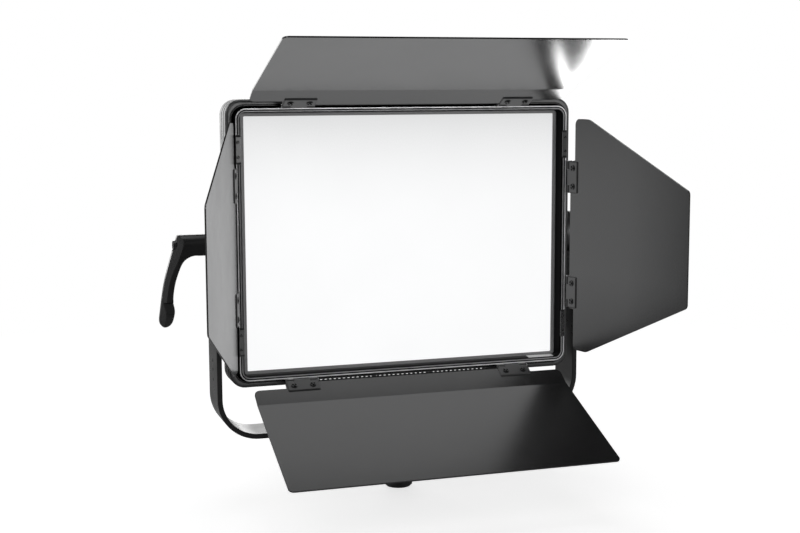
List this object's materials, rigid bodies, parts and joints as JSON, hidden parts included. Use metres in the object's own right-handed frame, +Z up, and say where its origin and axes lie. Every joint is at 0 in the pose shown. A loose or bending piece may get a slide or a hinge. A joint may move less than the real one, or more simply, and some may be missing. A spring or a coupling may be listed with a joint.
{
  "type": "led panel light",
  "caption": "Rectangular soft LED panel light on a U-shaped yoke with a stand spigot, a side clamping lever and hinged barn doors on a front frame.",
  "frame": {"origin": "on the stand spigot axis, at the shoulder that rests on the stand receiver", "axes": "+Z up along the spigot, -Y the way the light faces, +X to the right seen from the front"},
  "size_m": [0.4578, 0.2947, 0.4496],
  "materials": {
    "housing_paint": "fine matte black powder coat",
    "frame_paint": "satin black paint",
    "yoke_paint": "satin dark grey-black paint",
    "door_paint": "satin dark grey-black paint on sheet",
    "leaf_paint": "satin dark grey-black paint",
    "bezel_plastic": "matte dark grey moulding",
    "lever_plastic": "black moulded nylon",
    "knob_plastic": "black moulding",
    "socket_plastic": "black moulding",
    "black_steel": "black oxide steel",
    "spigot_steel": "black plated steel, worn at the edges",
    "bright_steel": "zinc plated steel",
    "diffuser_white": "frosted opal sheet, evenly lit",
    "reflector_white": "white reflector",
    "gasket_rubber": "foam rubber",
    "board_green": "solder mask",
    "led_yellow": "phosphor",
    "sink_aluminium": "extruded, clear anodised",
    "supply_case": "pressed sheet case",
    "window_dark": "smoked clear window",
    "label_grey": "blank plate"
  },
  "bodies": {
    "yoke": {"yoke_bar": "yoke_paint", "stand_spigot": "spigot_steel", "spigot_bolt": "black_steel", "friction_discs": "gasket_rubber", "lever_base_washer": "lever_plastic", "pivot_washer": "black_steel"},
    "lock_screw": {"spigot_lock_screw": "bright_steel"},
    "lever_insert": {"lever_stud": "bright_steel", "lever_screw": "black_steel", "lever_spring": "bright_steel"},
    "lever_handle": {"tilt_lever": "lever_plastic"},
    "top_door": {"door_top": "door_paint", "hinge_leaves_top": "leaf_paint", "hinge_fasteners_top": "black_steel"},
    "bottom_door": {"door_bottom": "door_paint", "hinge_leaves_bottom": "leaf_paint", "hinge_fasteners_bottom": "black_steel"},
    "left_door": {"door_left": "door_paint", "hinge_leaves_left": "leaf_paint", "hinge_fasteners_left": "black_steel"},
    "right_door": {"door_right": "door_paint", "hinge_leaves_right": "leaf_paint", "hinge_fasteners_right": "black_steel"},
    "left_fan": {"fan_rotor_left": "socket_plastic"},
    "right_fan": {"fan_rotor_right": "socket_plastic"},
    "dial_left": {"left_dial": "knob_plastic"},
    "dial_centre": {"centre_dial": "knob_plastic"},
    "dial_right": {"right_dial": "knob_plastic"},
    "button_1": {"menu_button_1": "knob_plastic"},
    "button_2": {"menu_button_2": "knob_plastic"},
    "button_3": {"menu_button_3": "knob_plastic"},
    "rocker": {"power_rocker": "knob_plastic"},
    "head": {"barn_door_frame": "frame_paint", "bracket_rivets": "black_steel", "clip_screws": "black_steel", "control_board": "board_green", "diffuser_gasket": "gasket_rubber", "diffuser_panel": "diffuser_white", "display_window": "window_dark", "driver_board": "board_green", "encoder_bodies": "socket_plastic", "fan_frames": "socket_plastic", "frame_clips": "frame_paint", "front_bezel": "bezel_plastic", "heatsink": "sink_aluminium", "hinge_brackets": "frame_paint", "hinge_pins": "bright_steel", "label_plates": "label_grey", "led_board": "board_green", "led_emitters": "led_yellow", "light_chamber": "reflector_white", "main_housing": "housing_paint", "pivot_bolt": "black_steel", "power_inlet": "socket_plastic", "power_supply": "supply_case", "rear_cover": "housing_paint", "rear_cover_screws": "black_steel", "safety_eye": "bright_steel", "signal_sockets": "socket_plastic", "switch_housing": "socket_plastic"}
  },
  "joints": [
    {"name": "tilt", "type": "hinge", "parent": "yoke", "child": "head", "pos_m": [0, 0, 0.217], "axis": [-1, 0, 0], "range_deg": [-20, 90]},
    {"name": "lock_screw_turn", "type": "hinge", "parent": "yoke", "child": "lock_screw", "pos_m": [0, 0.014, 0.0065], "axis": [0, 1, 0], "range_deg": [-180, 180]},
    {"name": "lever_clamp", "type": "hinge", "parent": "head", "child": "lever_insert", "pos_m": [-0.2, 0, 0.217], "axis": [1, 0, 0], "range_deg": [-60, 60]},
    {"name": "lever_lift", "type": "slide", "parent": "lever_insert", "child": "lever_handle", "axis": [-1, 0, 0], "range_m": [0, 0.004]},
    {"name": "top_door_swing", "type": "hinge", "parent": "head", "child": "top_door", "pos_m": [0, -0.0362, 0.3497], "axis": [-1, 0, 0], "range_deg": [-107.4, 90.8]},
    {"name": "bottom_door_swing", "type": "hinge", "parent": "head", "child": "bottom_door", "pos_m": [0, -0.0362, 0.0843], "axis": [1, 0, 0], "range_deg": [-111.4, 68.6]},
    {"name": "left_door_swing", "type": "hinge", "parent": "head", "child": "left_door", "pos_m": [-0.1719, -0.0362, 0.217], "axis": [0, 0, -1], "range_deg": [-109.6, 85.4]},
    {"name": "right_door_swing", "type": "hinge", "parent": "head", "child": "right_door", "pos_m": [0.1719, -0.0362, 0.217], "axis": [0, 0, 1], "range_deg": [-105, 90]},
    {"name": "left_fan_spin", "type": "hinge", "parent": "head", "child": "left_fan", "pos_m": [-0.072, 0.055, 0.269], "axis": [0, 1, 0], "continuous": true},
    {"name": "right_fan_spin", "type": "hinge", "parent": "head", "child": "right_fan", "pos_m": [0.072, 0.055, 0.269], "axis": [0, 1, 0], "continuous": true},
    {"name": "left_dial_turn", "type": "hinge", "parent": "head", "child": "dial_left", "pos_m": [-0.036, 0.078, 0.129], "axis": [0, 1, 0], "continuous": true},
    {"name": "centre_dial_turn", "type": "hinge", "parent": "head", "child": "dial_centre", "pos_m": [0, 0.078, 0.129], "axis": [0, 1, 0], "continuous": true},
    {"name": "right_dial_turn", "type": "hinge", "parent": "head", "child": "dial_right", "pos_m": [0.036, 0.078, 0.129], "axis": [0, 1, 0], "continuous": true},
    {"name": "button_1_press", "type": "slide", "parent": "head", "child": "button_1", "axis": [0, -1, 0], "range_m": [0, 0.0012]},
    {"name": "button_2_press", "type": "slide", "parent": "head", "child": "button_2", "axis": [0, -1, 0], "range_m": [0, 0.0012]},
    {"name": "button_3_press", "type": "slide", "parent": "head", "child": "button_3", "axis": [0, -1, 0], "range_m": [0, 0.0012]},
    {"name": "power_rocker_tip", "type": "hinge", "parent": "head", "child": "rocker", "pos_m": [-0.082, 0.071, 0.131], "axis": [1, 0, 0], "range_deg": [-10, 0]}
  ]
}
